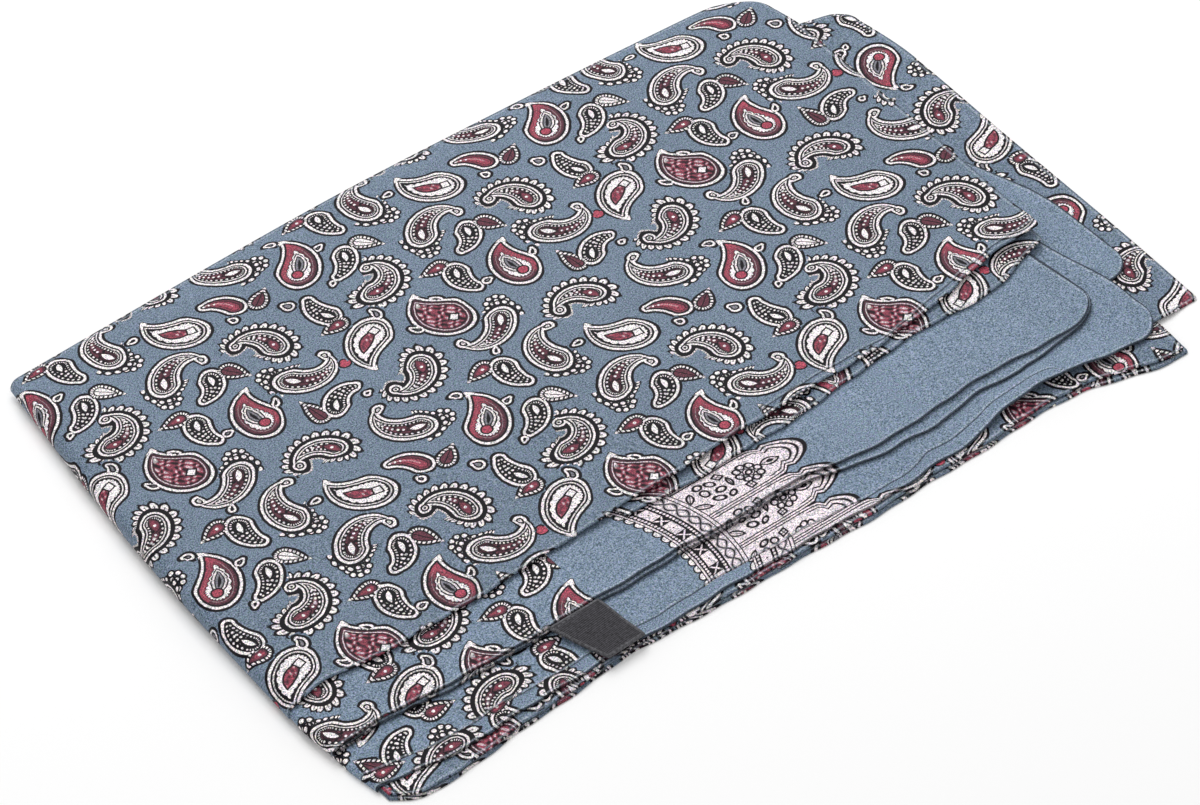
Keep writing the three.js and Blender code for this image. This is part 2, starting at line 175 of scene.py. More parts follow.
# creased margins: how far inside the front edge a stretch is creased, by x
CREASES = dict(
    top_panel=[(20, 4.6), (50, 4.0), (78, 3.6), (92, 1.3), (104, 2.4), (120, 3.8), (150, 2.8),
               (185, 3.6)],
    outer_flap=[(-222, 9), (-165, 8.6), (-140, 7.4), (-100, 7), (-30, 7), (30, 5.4), (52, 5.6),
                (60, 7.6), (90, 7), (124, 6.6), (135, 5)])
CREASED_FROM = dict(top_panel=(22, 190), outer_flap=(-230, 128))  # the creases' two ends
# what lies on each level, from the table up; stretches on one level lie side by side
STACK = [["base_panel"], ["front_fold", "back_panel"], ["rear_flap"], ["outer_flap"],
         ["inner_flap_lower"], ["inner_flap_upper"], ["front_return"], ["top_panel"]]
LEVEL_OF = {name: level for level, names in enumerate(STACK) for name in names}
LEVEL_OF.update(care_label=LEVEL_OF["inner_flap_upper"], hidden_core=1)
# free margins that stand up a little: x of the middle, half width, depth, height
LIFTS = dict(outer_flap=(122, 60, 20, 4.2), top_panel=(172, 85, 26, 2.2))
FRONT_SETTLE, BACK_SETTLE = 2.2, 2.6  # how far the top panel lies lower there


def smooth(start, end, v):
    """Eased step, 3t^2 - 2t^3: 0 up to start and 1 from end."""
    t = np.clip((np.asarray(v, float) - start) / (end - start), 0, 1)
    return t * t * (3 - 2 * t)


def curve(rows, v):
    """Smooth line through rows of (place, value): cubic pieces, whose slope at a row is the
    slope between its two neighbours, level past both ends."""
    place, value = np.array(rows, float).T
    last = len(place) - 1
    before = np.maximum(np.arange(last + 1) - 1, 0)
    after = np.minimum(np.arange(last + 1) + 1, last)
    slope = (value[after] - value[before]) / (place[after] - place[before])
    v = np.clip(v, place[0], place[-1])
    i = np.clip(np.searchsorted(place, v, side="right") - 1, 0, last - 1)
    width, rise = place[i + 1] - place[i], value[i + 1] - value[i]
    t = (v - place[i]) / width
    m0, m1 = slope[i] * width, slope[i + 1] * width
    return value[i] + t * (m0 + t * (3 * rise - 2 * m0 - m1 + t * (m0 + m1 - 2 * rise)))


def corner_pull(radius, distance):
    """How far a rounded corner pulls an edge in: radius less the height of its quarter
    circle, at a distance from the side it meets."""
    reach = np.clip(radius - distance, 0, radius)
    return radius - np.sqrt(radius * radius - reach * reach)


def front_y(part, x):
    """Front edge of a stretch at x, a little wavy, with its right-hand corner rounded."""
    waves = 0.4 * np.sin(x / 8.3 + part.step) + 0.3 * np.sin(x / 3.4 + 3 * part.step)
    return (curve(part.front, x) + waves * (part.corners[0] > 0)
            + corner_pull(part.corners[0], curve(part.right, 0) - x))


def back_y(part, x):
    """Back edge of a stretch at x, with its right-hand corner rounded."""
    return curve(part.back, x) - corner_pull(part.corners[1], curve(part.right, 1) - x)


def inside_sides(part, x, y):
    """How far inside each side of a stretch each point lies."""
    front, back = front_y(part, x), back_y(part, x)
    t = np.clip((y - front) / (back - front), 0, 1)
    return dict(front=y - front, back=back - y, left=x - curve(part.left, t),
                right=curve(part.right, t) - x)


def cover(part, x, y):
    """How far a stretch carries what lies on it: 1 over its outline, easing to 0 past it."""
    share = np.ones(np.shape(x))
    for side, inside in inside_sides(part, x, y).items():
        clear, fall = HIDDEN_DRAPE if side in part.hidden else DRAPE
        share = np.minimum(share, 1 - smooth(clear, clear + fall, -inside))
    return share


def lifted(name, x, y):
    """A free margin standing up: height x eased bump along x x eased fall inward."""
    if name not in LIFTS:
        return 0.0
    middle, half, depth, height = LIFTS[name]
    inward = y - curve(STRETCHES[name].front, x)
    return height * (1 - smooth(0, half, abs(x - middle))) * (1 - smooth(0, depth, inward))


def rest_height(levels, x, y):
    """Underside of what rests on the lowest levels: the sum over them of what each carries."""
    height = np.zeros(np.shape(x))
    for names in STACK[:levels]:
        height += np.max([cover(STRETCHES[name], x, y) * (LEVEL + lifted(name, x, y))
                          for name in names], axis=0)
    return height


def top_height(x, y):
    """Mid height of the top panel: level, settled at the left front and along the back, and
    lifted where its front fold is open."""
    settled_front = FRONT_SETTLE * (1 - smooth(-100, -20, x)) * (1 - smooth(-70, 0, y))
    settled_back = BACK_SETTLE * smooth(-16, 0, y - curve(STRETCHES["top_panel"].back, x))
    return TOP_MID - settled_front - settled_back + lifted("top_panel", x, y)


def mid_height(name, x, y):
    """Mid surface of a stretch: on what lies below it, half its room up, plus its lift."""
    if name == "top_panel":
        return top_height(x, y)
    return rest_height(LEVEL_OF[name], x, y) + CLOTH_WALL / 2 + lifted(name, x, y)


def depth_stations(part):
    """Shares of the depth for the rows: step apart over the fine part, then growing."""
    x = np.linspace(part.front[0][0], part.front[-1][0], 40)
    depth = float(np.max(back_y(part, x) - front_y(part, x)))
    if part.fine > depth - 12:
        return np.linspace(0, 1, round(depth / part.step) + 1)
    fine = np.arange(0, part.fine, part.step)
    rest = np.linspace(fine[-1], depth, int((depth - fine[-1]) / 9) + 2)[1:]
    return np.concatenate([fine, rest]) / depth


def width_stations(part):
    """Shares of the width for the columns: even, then by the sine of an even angle over
    the last few millimetres, where the right-hand corners turn."""
    width = float(curve(part.right, 0) - curve(part.left, 0))
    reach = max(*part.corners, 2) / width
    even = np.linspace(0, 1 - reach, max(2, round((1 - reach) * width / part.step)))
    turns = max(3, round(reach * width / part.step * 1.6))
    angle = np.linspace(0, np.pi / 2, turns + 1)[1:]
    return np.concatenate([even, 1 - reach + reach * np.sin(angle)])


def plan_grid(part, turn):
    """Plan of a stretch: x runs from the left side, less the room for its turn, to the right
    side at share s, and y from the front to the back edge at share t. Rows by t."""
    s, t = np.meshgrid(width_stations(part), depth_stations(part))
    left, right = curve(part.left, t) + turn, curve(part.right, t)
    x = left + (right - left) * s
    front, back = front_y(part, x), back_y(part, x)
    return x, front + (back - front) * t


def edge_distance(part, x, y):
    """How far inside its nearest free edge each point lies."""
    return np.min([inside for side, inside in inside_sides(part, x, y).items()
                   if side not in part.hidden], axis=0)


def crease_distance(name, x, inward):
    """How far inside its crease each point lies; far from any crease it is large."""
    if name not in CREASES:
        return np.full(x.shape, NO_CREASE)
    start, end = CREASED_FROM[name]
    away = 40 * (smooth(0, 12, start - x) + smooth(0, 12, x - end))
    return inward - curve(CREASES[name], x) + away


def flat_grid(name, turn=0.0):
    """Mid surface of a stretch that lies flat, the place of each point on the cloth, and
    its distances inside the free edges and the crease."""
    part = STRETCHES[name]
    x, y = plan_grid(part, turn)
    crease = crease_distance(name, x, y - front_y(part, x))
    height = mid_height(name, x, y) - CREASE_STEP * (1 - smooth(-0.8, 0.8, crease))
    points = np.stack([x, y, height], axis=-1)
    return points, points[..., :2], np.stack([edge_distance(part, x, y), crease], axis=-1)


def turned_grid(name):
    """Mid surface of a stretch whose left side turns down a quarter circle to its foot. The
    place on the cloth runs on round the turn by arc length."""
    part = STRETCHES[name]
    radius, foot_height = TURNS[name]
    flat, _, _ = flat_grid(name, radius)
    t = depth_stations(part)[:, None]
    left, right = curve(part.left, t), curve(part.right, t)
    angle = np.linspace(np.pi / 2, 0, round(radius) + 4)[None, :-1]
    roof, edge_y = flat[:, :1, 2], flat[:, :1, 1] + 0 * angle
    drop = np.minimum(radius, roof - foot_height - FOOT_CLEAR)
    turn = np.stack([left + radius * (1 - np.sin(angle)), edge_y,
                     roof - drop * (1 - np.cos(angle))], axis=-1)
    foot = turn[:, :1].copy()
    foot[..., 2] = foot_height
    points = np.concatenate([foot, turn, flat], axis=1)
    step = np.linalg.norm(np.diff(points[:, :angle.shape[1] + 2], axis=1), axis=-1)
    back_along = np.cumsum(step[:, ::-1], axis=1)[:, ::-1]
    place = points[..., :2].copy()
    place[:, :step.shape[1], 0] = points[:, step.shape[1], 0:1] - back_along
    edge = np.minimum(points[..., 1] - points[:1, :, 1], right - points[..., 0])
    if "back" not in part.hidden:
        edge = np.minimum(edge, points[-1:, :, 1] - points[..., 1])
    crease = crease_distance(name, points[..., 0], points[..., 1] - points[:1, :, 1])
    return points, place, np.stack([edge, crease], axis=-1)


CORE_PLIES = (0.2, -1.2, 0.6, -0.6, 0.9)  # how far each hidden fold stands out, lowest first
CORE_LOW_CLEAR, CORE_HIGH_CLEAR = 0.1, 0.25  # room under and over them


def core_grid():
    """The hidden folds: a block from what lies on the lowest two levels up to the top panel.
    Returns its mid surface, places, edge distances and half height."""
    part = STRETCHES["hidden_core"]
    x, y = plan_grid(part, 0.0)
    low = rest_height(2, x, y) + CORE_LOW_CLEAR
    high = top_height(x, y) - SILK / 2 - CORE_HIGH_CLEAR
    points = np.stack([x, y, (low + high) / 2], axis=-1)
    edge = np.stack([edge_distance(part, x, y), np.full(x.shape, NO_CREASE)], axis=-1)
    return points, points[..., :2], edge, (high - low) / 2


def flat_cut(place):
    """Width and length of the rectangle that a stretch is cut from, and its area in square
    metres: half the cross product of the diagonals, summed over the grid's cells."""
    size = (place.reshape(-1, 2).max(axis=0) - place.reshape(-1, 2).min(axis=0)) * MM
    one, two = place[1:, 1:] - place[:-1, :-1], place[1:, :-1] - place[:-1, 1:]
    area = abs(one[..., 0] * two[..., 1] - one[..., 1] * two[..., 0]).sum() / 2 * MM * MM
    return tuple(float(v) for v in size), float(min(area, size[0] * size[1]))


def unit(v):
    """Vectors one long, in the same directions."""
    return v / np.maximum(np.linalg.norm(v, axis=-1, keepdims=True), 1e-9)


def grid_normals(points):
    """Unit normals of a grid: the cross product of its two central differences."""
    return unit(np.cross(np.gradient(points, axis=1), np.gradient(points, axis=0)))


def rim_loop(rows, columns):
    """Rows and columns of the rim, anticlockwise from above, starting at the front left."""
    r, c = np.arange(rows - 1), np.arange(columns - 1)
    return (np.concatenate([0 * c, r, 0 * c + rows - 1, rows - 1 - r]),
            np.concatenate([c, 0 * r + columns - 1, columns - 1 - c, 0 * r]))


def rim_outward(points, row, column):
    """Direction out of the sheet at the rim: away from the neighbours that lie inward."""
    rows, columns = points.shape[:2]
    here = points[row, column]
    out = np.zeros_like(here)
    for edge, dr, dc in ((row == 0, 1, 0), (row == rows - 1, -1, 0),
                         (column == 0, 0, 1), (column == columns - 1, 0, -1)):
        inner = points[np.clip(row + dr, 0, rows - 1), np.clip(column + dc, 0, columns - 1)]
        out += edge[:, None] * unit(here - inner)
    return unit(out)


def round_rim(wall):
    """Profile of a thin rim: points on a half circle, (out, up) from the mid surface."""
    angle = np.linspace(-np.pi / 2, np.pi / 2, 5)[1:-1]
    return np.stack([np.cos(angle), np.sin(angle)], axis=-1) * wall / 2


def layered_rim(plies, half):
    """Profile of a stack of folded plies, one round nose over another: on ply k the point at
    angle a is (stands out + r cos a, middle of the ply + r sin a), r being half a ply."""
    r = half / len(plies)
    angle = np.radians([-70, -35, 0, 35, 70])
    return np.concatenate([np.stack([stands_out + r * np.cos(angle),
                                     (2 * k + 1) * r - half + r * np.sin(angle)], axis=-1)
                           for k, stands_out in enumerate(plies)])


def make_shell(name, points, place, edge, half, rim, shift):
    """Closed sheet: the mid surface moved half a wall out along its normals on each side, the
    two joined round the rim along its profile. Returns the object, the corners of its faces,
    and each vertex's place on the cloth and distances from the edges."""
    points = points + np.array([*shift, 0])
    normal = grid_normals(points)
    rows, columns = points.shape[:2]
    count = rows * columns
    row, column = rim_loop(rows, columns)
    out = rim_outward(points, row, column)
    middle, up = points[row, column], normal[row, column]
    rings = [middle + rise * up + reach * out for reach, rise in rim]
    half = half if np.isscalar(half) else half[..., None]
    vertices = np.concatenate([(points + normal * half).reshape(-1, 3),
                               (points - normal * half).reshape(-1, 3), *rings])
    k = np.arange(count).reshape(rows, columns)
    upper = np.stack([k[:-1, :-1], k[:-1, 1:], k[1:, 1:], k[1:, :-1]], axis=-1).reshape(-1, 4)
    lower = upper[:, ::-1] + count
    loops = [row * columns + column + count]
    loops += [2 * count + i * len(row) + np.arange(len(row)) for i in range(len(rings))]
    loops += [row * columns + column]
    sides = [np.stack([a, np.roll(a, -1), np.roll(b, -1), b], axis=-1)
             for a, b in zip(loops, loops[1:])]
    quads = np.concatenate([upper, lower, *sides])
    cloth = np.concatenate([place.reshape(-1, 2)] * 2 + [place[row, column]] * len(rings))
    edge = np.concatenate([edge.reshape(-1, 2)] * 2 + [edge[row, column]] * len(rings))

    mesh = bpy.data.meshes.new(name + "_cloth")
    mesh.vertices.add(len(vertices))
    mesh.vertices.foreach_set("co", (vertices * MM).ravel())
    mesh.loops.add(quads.size)
    mesh.loops.foreach_set("vertex_index", quads.ravel())
    mesh.polygons.add(len(quads))
    mesh.polygons.foreach_set("loop_start", np.arange(0, quads.size, 4))
    mesh.update(calc_edges=True)
    mesh.polygons.foreach_set("use_smooth", np.ones(len(quads), bool))
    mesh.validate()
    return add_object(name + "_silk", mesh), quads, cloth, edge


def recentring():
    """The tables are moved as one so that the rear flap's front left corner comes where its
    node's box says, the node being that much larger all round."""
    spread = 0.35
    low = np.array(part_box("rear_flap")[0]) / MM
    corner = STRETCHES["rear_flap"].left[0][1], STRETCHES["rear_flap"].front[0][1]
    return low[:2] + spread - corner


SHIFT = recentring()

# ================= the print: one repeat of figures =================
REPEAT = 140.0  # side of the square repeat, millimetres
REPEAT_CORNER = (-87.72, 109.05)  # where a repeat starts on the top panel
PRINT_SKEW = ((0.9992, 0.0125), (0.0125, 1.0009))  # how the print lies on the cloth
GROWN = 1.09  # figures are drawn this much larger than their rows below say
RED_TEAR, WHITE_TEAR, WINE_TEAR, CURL, FRINGED, BEAN, RED_BEAN = range(7)
RED_LEAF, DARK_LEAF, WHITE_LEAF, BUD, BERRY = range(7, 12)
# width of each kind's white band, how far its tip narrows (1 is a point), how far petals
# stand outside its outline, and how much its outline spreads
BAND, NARROW, PETALS, SPREAD = range(4)
KIND_LOOK = np.array([(1.2, 0.92, 0, 0.4), (1.25, 0.92, 0, 0.45), (1.25, 0.92, 0, 0.45),
                      (1.2, 0.80, 8.0, 0.6), (0.9, 0.80, 4.8, 0.45), (1.2, 0.58, 0, 0.5),
                      (1.1, 0.62, 0, 0.45), (1.2, 1, 0, 0.5), (1.2, 1, 0, 0.5),
                      (1.2, 1, 0, 0.5), (0.95, 0.5, 0, 0.9), (0.8, 0.5, 0, 0.7)])
# right and down place the round end in the repeat; heading is the way from the round end to
# the tip in degrees from +X; round is the half width, long the length of the spine; bend is
# how far the spine turns, + to the left; hook pulls the tip further over
KIND, RIGHT, DOWN, HEADING, ROUND, LONG, BEND, HOOK = range(8)
FIGURES = np.array([
    (RED_TEAR, 89.0, 42.9, 108, 10.1, 23.4, -62, 1.9), (BUD, 99.4, 38.0, 40, 2.1, 3.0, 40, 0.0),
    (CURL, 112.6, 30.4, -58, 7.4, 27.3, 105, 5.3), (BERRY, 136.3, 38.0, 90, 2.4, 0.8, 0, 0.0),
    (WHITE_TEAR, 156.0, 30.8, 202, 10.0, 24.1, 62, 2.8),
    (BUD, 164.9, 22.6, 60, 2.7, 3.8, 60, 0.0), (WINE_TEAR, 47.0, 45.9, 132, 11.8, 22.6, -58, 2.3),
    (BUD, 50.7, 34.0, 110, 2.0, 3.8, 30, 0.0), (BUD, 32.7, 43.8, 140, 2.3, 3.8, -30, 0.0),
    (BEAN, 67.2, 24.3, 243, 6.4, 13.9, 62, 0.0), (BUD, 73.6, 38.7, 0, 2.5, 1.8, 0, 0.0),
    (RED_LEAF, 64.0, 16.5, 180, 4.6, 10.8, -10, 0.0),
    (BEAN, 88.0, 144.8, 262, 6.1, 13.2, -76, 0.0),
    (DARK_LEAF, 96.6, 145.6, 300, 4.8, 11.4, 0, 0.0),
    (FRINGED, 101.8, 78.9, 112, 5.7, 21.6, 112, 1.3),
    (FRINGED, 159.3, 62.1, 262, 6.6, 22.6, -118, 1.3),
    (CURL, 62.8, 62.6, 242, 7.1, 26.4, -84, 5.3), (BUD, 48.2, 78.9, 60, 2.0, 2.8, 0, 0.0),
    (DARK_LEAF, 109.3, 58.6, 96, 4.5, 14.2, 0, 0.0), (BEAN, 117.4, 58.3, 66, 6.2, 15.0, -84, 1.0),
    (BUD, 132.1, 60.6, 10, 2.1, 1.3, 0, 0.0), (CURL, 136.4, 93.6, 166, 7.2, 26.9, -86, 5.1),
    (CURL, 63.9, 101.4, 116, 7.5, 26.0, -80, 4.6), (RED_LEAF, 37.8, 83.7, 193, 4.7, 10.8, 0, 0.0),
    (BEAN, 44.6, 89.0, 250, 6.4, 13.7, 56, 0.0),
    (WHITE_TEAR, 97.9, 111.8, 160, 9.8, 23.5, -68, 2.8), (BUD, 77.6, 99.5, 180, 2.1, 2.5, 0, 0.0),
    (RED_BEAN, 122.8, 113.1, 104, 5.7, 14.2, 62, 0.6),
    (DARK_LEAF, 131.9, 117.9, 36, 4.7, 9.9, 0, 0.0), (BUD, 117.3, 120.2, 120, 2.3, 1.8, 0, 0.0),
    (RED_TEAR, 16.5, 114.4, 42, 10.1, 24.4, 62, 1.5), (BUD, 18.8, 89.5, 120, 2.4, 2.3, 60, 0.0),
    (BUD, 32.2, 107.2, 20, 2.3, 2.3, 0, 0.0), (BEAN, 38.4, 119.2, 256, 6.1, 14.2, -66, 0.0),
    (WHITE_LEAF, 48.2, 116.7, 309, 4.5, 12.0, 0, 0.0), (BUD, 23.6, 131.1, 230, 2.0, 1.8, 0, 0.0),
    (CURL, 71.0, 133.9, 68, 7.2, 26.9, -95, 5.1), (FRINGED, 120.7, 147.4, 80, 6.5, 20.9, 95, 1.5),
    (BEAN, 149.6, 148.1, 120, 6.2, 14.2, -52, 0.0), (BUD, 140.1, 130.0, 120, 3.0, 2.3, 0, 0.0),
    (RED_LEAF, 149.6, 155.3, 184, 4.6, 10.1, 0, 0.0),
    (FRINGED, 33.0, 149.6, -12, 6.5, 26.0, 150, 1.3),
])
PROFILE_POWER = 1.2
LEAST_BEND = 0.02  # of a spine, in radians
BULB_NARROW, BULB_RADIUS, BULB_ASIDE = 0.80, 4.3, 1.9  # round curl at the tip of a figure
NO_BULB = -9.0  # radius for figures without one
FIRST_LINE, SECOND_LINE = 1.35, 0.9  # ink round every figure, and inside its white band
PETAL_PITCH = 2.7


def figure_shape(x, y, figure):
    """Inset of points from a figure's outline, in millimetres, and how far along it they
    lie. The spine is a circular arc that bends left from +Y at the origin; the inset is the
    half width at the nearest place on it, round (1 - qt)^p (1 + pqt) for t from 0 to 1
    along it, less the distance, or the inset in the round curl at its tip."""
    radius, long, spine, hook, narrow = (figure[..., i] for i in range(5))
    along = spine * np.arctan2(y, x + spine)
    t = np.clip(along / long, 0, 1)
    from_centre = np.hypot(x + spine, y)
    aside = from_centre - spine + hook * t ** 3
    share = narrow * t
    half = radius * (1 - share) ** PROFILE_POWER * (1 + PROFILE_POWER * share)
    inset = half - np.hypot(aside, along - t * long)
    # only curls and fringed figures narrow this much: their tips end in a round curl
    bulb = np.where(narrow == BULB_NARROW, BULB_RADIUS, NO_BULB)
    beyond = (along - long) * from_centre / spine
    return np.maximum(inset, bulb - np.hypot(aside + BULB_ASIDE, beyond)), along


def figure_start(row):
    """Place of a figure's round end in the repeat."""
    return np.array([FIGURES[row, RIGHT], -FIGURES[row, DOWN]])


def on_print(cloth, lay):
    """Places in the print's own directions. lay is None on the top panel; on a stretch that
    was folded over it is (turn in degrees, row of a figure, x, y of that figure)."""
    if lay is None:
        return cloth @ np.array(PRINT_SKEW).T - np.array(REPEAT_CORNER)
    turn, row, x, y = lay
    c, s = np.cos(np.radians(turn)), np.sin(np.radians(turn))
    return (cloth - np.array([x, y])) @ np.array([[c, -s], [s, c]]) + figure_start(row)


def figure_sizes():
    """Radius, length, spine radius, hook and narrowing of every row, as drawn."""
    look = KIND_LOOK[FIGURES[:, KIND].astype(int)]
    spine = FIGURES[:, LONG] / np.maximum(abs(np.radians(FIGURES[:, BEND])), LEAST_BEND)
    return np.column_stack([FIGURES[:, ROUND] * GROWN + look[:, SPREAD], FIGURES[:, LONG] * GROWN,
                            spine * GROWN, FIGURES[:, HOOK] * GROWN, look[:, NARROW]])


def print_on(places, sizes):
    """For each face, by the place of its middle: the figure that it lies in, or else the one
    whose petals reach furthest over it. Returns its row and where that figure starts."""
    best = np.full(len(places), -1e9)
    row, home = np.zeros(len(places), int), np.zeros((len(places), 2))
    for i, figure in enumerate(FIGURES):
        start = figure_start(i)
        # the figure's middle decides which repeat is nearest
        way = np.radians(figure[HEADING] + figure[BEND] / 3)
        middle = start + figure[LONG] * 0.4 * np.array([np.cos(way), np.sin(way)])
        shift = np.round((places - middle) / REPEAT) * REPEAT
        local = figure_local(places, start + shift, i)
        inset, along = figure_shape(local[:, 0], local[:, 1], sizes[i])
        petals = KIND_LOOK[int(figure[KIND]), PETALS] * ((along < 2) | (figure[KIND] == FRINGED))
        reach = np.where(inset > -0.9, 20 + inset, inset + petals)
        closer = reach > best
        best[closer], row[closer] = reach[closer], i
        home[closer] = (start + shift)[closer]
    return row, home


def figure_local(places, home, row):
    """Places on the cloth in a figure's own directions: +Y from its round end towards its
    tip, and X turned over where its spine bends to the right."""
    way = np.radians(FIGURES[row, HEADING])
    side = np.where(FIGURES[row, BEND] < 0, -1.0, 1.0)
    d = places - home
    return np.stack([side * (d[..., 0] * np.sin(way) - d[..., 1] * np.cos(way)),
                     d[..., 0] * np.cos(way) + d[..., 1] * np.sin(way)], axis=-1)


def write_corners(mesh, name, *parts):
    """One vector for each face corner."""
    layer = mesh.attributes.new(name, "FLOAT_VECTOR", "CORNER")
    layer.data.foreach_set("vector", np.stack(parts, axis=-1).astype(np.float32).ravel())


def lay_print(mesh, corners, lay):
    """Writes each face corner's place in its figure and the figure's sizes as attributes."""
    corners = on_print(corners, lay)
    sizes = figure_sizes()
    row, home = print_on(corners.mean(axis=1), sizes)
    row, home = np.repeat(row[:, None], 4, axis=1), np.repeat(home[:, None], 4, axis=1)
    local = figure_local(corners, home, row)
    kind = FIGURES[row, KIND]
    look = KIND_LOOK[kind.astype(int)]
    write_corners(mesh, "figure_place", local[..., 0], local[..., 1], kind)
    write_corners(mesh, "figure_size", *(sizes[row, i] for i in range(3)))
    write_corners(mesh, "figure_look", sizes[row, 3], look[..., BAND], look[..., NARROW])


# ================= shader maths =================
def works(operation):
    """An operator on wires that adds the Math node of that name."""
    return lambda wire, *other: wire.math(operation, *other)


class Wire:
    """One output of a node. Arithmetic on wires adds Math nodes to the material."""

    def __init__(self, finish, socket):
        self.finish, self.socket = finish, socket

    def math(self, operation, *others, clamp=False):
        return self.finish.math(operation, self, *others, clamp=clamp)

    __add__ = __radd__ = works("ADD")
    __mul__ = __rmul__ = works("MULTIPLY")
    __sub__, __truediv__, __pow__ = works("SUBTRACT"), works("DIVIDE"), works("POWER")
    __abs__ = works("ABSOLUTE")

    def __rsub__(self, other):
        return self.finish.math("SUBTRACT", other, self)

    def __neg__(self):
        return self * -1.0


class Finish:
    """A material under construction."""

    def __init__(self, name):
        self.material = bpy.data.materials.new(name)
        self.material.use_nodes = True
        self.tree = self.material.node_tree
        self.shader = self.tree.nodes["Principled BSDF"]

    def node(self, kind, settings=None, sockets=None):
        """A node of a kind, its settings set first, then its sockets' values or wires."""
        node = self.tree.nodes.new(kind)
        for key, value in (settings or {}).items():
            setattr(node, key, value)
        for key, value in (sockets or {}).items():
            self.join(node.inputs[key], value)
        return node

    def join(self, socket, value):
        if isinstance(value, Wire):
            self.tree.links.new(value.socket, socket)
        else:
            socket.default_value = value

    def math(self, operation, *values, clamp=False):
        node = self.node("ShaderNodeMath", dict(operation=operation, use_clamp=clamp),
                         dict(enumerate(values)))
        return Wire(self, node.outputs[0])

    def vector(self, name):
        """The three numbers of a vector attribute."""
        source = self.node("ShaderNodeAttribute",
                           dict(attribute_type="GEOMETRY", attribute_name=name))
        return self.parts(Wire(self, source.outputs["Vector"]))

    def parts(self, wire):
        """The three numbers of a vector or colour."""
        split = self.node("ShaderNodeSeparateXYZ", None, {0: wire})
        return [Wire(self, out) for out in split.outputs]

    def vector_math(self, operation, *values, scale=None):
        """Vector maths on colours or vectors; plain colours keep their three numbers."""
        sockets = dict(enumerate(values))
        if scale is not None:
            sockets["Scale"] = scale
        node = self.node("ShaderNodeVectorMath", dict(operation=operation), sockets)
        return Wire(self, node.outputs[0])

    def noise(self, scale, detail=2.0, rough=0.5):
        """Smooth noise, about 0 to 1, with scale bumps to a metre of the object: its single
        value and its colour."""
        place = Wire(self, self.node("ShaderNodeTexCoord").outputs["Object"])
        node = self.node("ShaderNodeTexNoise", dict(noise_dimensions="3D"),
                         {"Vector": place, "Scale": scale, "Detail": detail, "Roughness": rough})
        return Wire(self, node.outputs["Fac"]), Wire(self, node.outputs["Color"])

    def mix(self, under, over, share):
        """Colour under, with over laid on it by a share."""
        node = self.node("ShaderNodeMix", dict(data_type="RGBA"), {0: share})
        for socket, paint in ((node.inputs[6], under), (node.inputs[7], over)):
            self.join(socket, paint if isinstance(paint, Wire) else (*paint, 1.0))
        return Wire(self, node.outputs[2])

    def surface(self, paint, rough, specular, bump):
        """The shader's colour and roughness, its constant gloss, and a bump from (strength,
        depth in metres, height)."""
        self.join(self.shader.inputs["Base Color"], paint)
        self.join(self.shader.inputs["Roughness"], rough)
        self.shader.inputs["Specular IOR Level"].default_value = specular
        bump = dict(zip(("Strength", "Distance", "Height"), bump))
        node = self.node("ShaderNodeBump", None, bump)
        self.join(self.shader.inputs["Normal"], Wire(self, node.outputs[0]))
        return self.material


def least(a, b):
    return a.math("MINIMUM", b)


def most(a, b):
    return a.math("MAXIMUM", b)


def sine(v):
    return v.math("SINE")


def above(v, edge, soft=0.12):
    """0 where v is below an edge and 1 above it, over a soft width each way."""
    return ((v - edge) * (0.5 / soft)).math("ADD", 0.5, clamp=True)


def below(v, edge, soft=0.12):
    return 1 - above(v, edge, soft)


def between(v, low, high, soft=0.12):
    return above(v, low, soft) * below(v, high, soft)


def apart(v, period):
    """Distance from the nearest multiple of a period: a triangle wave."""
    return v.math("PINGPONG", period / 2)


def is_near(v, value, reach=0.5):
    return v.math("COMPARE", value, reach)


def length(a, b):
    return (a * a + b * b).math("SQRT")


def lens(a, b, long, wide):
    """Inset of a pointed almond, from its half length and half width."""
    return (1 - (a / long) ** 2.0) * wide - abs(b)


# colours of the dyes, and of the painted highlights and painted shadow lines, as light values
GROUND = (0.159, 0.216, 0.288)
PLAIN_GROUND = (0.191, 0.261, 0.350)
# the print's ink, also used for painted shadow lines at free edges and in creases
INK_AND_SHADOW = (0.004, 0.0035, 0.006)
CREAM = (0.86, 0.825, 0.84)
BLUSH = (0.78, 0.71, 0.76)
RED = (0.40, 0.072, 0.112)
WINE = (0.115, 0.036, 0.054)
# painted highlight a little inside free edges and beside creases
RIM_HIGHLIGHT = (0.42, 0.49, 0.56)
PLUM = (0.065, 0.025, 0.037)
SLATE = (0.20, 0.20, 0.23)
SATIN_DARK, SATIN_LIGHT = (0.019, 0.018, 0.022), (0.060, 0.058, 0.068)
# thread of the label's stitches, and a painted highlight along the label's edges
STITCH, LABEL_EDGE_HIGHLIGHT = (0.10, 0.10, 0.11), (0.13, 0.13, 0.14)


class Painter:
    """Dyes laid one over another on a ground."""

    def __init__(self, finish, ground):
        self.finish, self.paint = finish, ground

    def lay(self, dye, mask):
        self.paint = self.finish.mix(self.paint, dye, mask)

    def dot(self, dye, away, radius, line, mask=1.0):
        """A dot in ink with a dye inside its line."""
        self.lay(INK_AND_SHADOW, below(away, radius) * mask)
        self.lay(dye, below(away, radius - line) * mask)


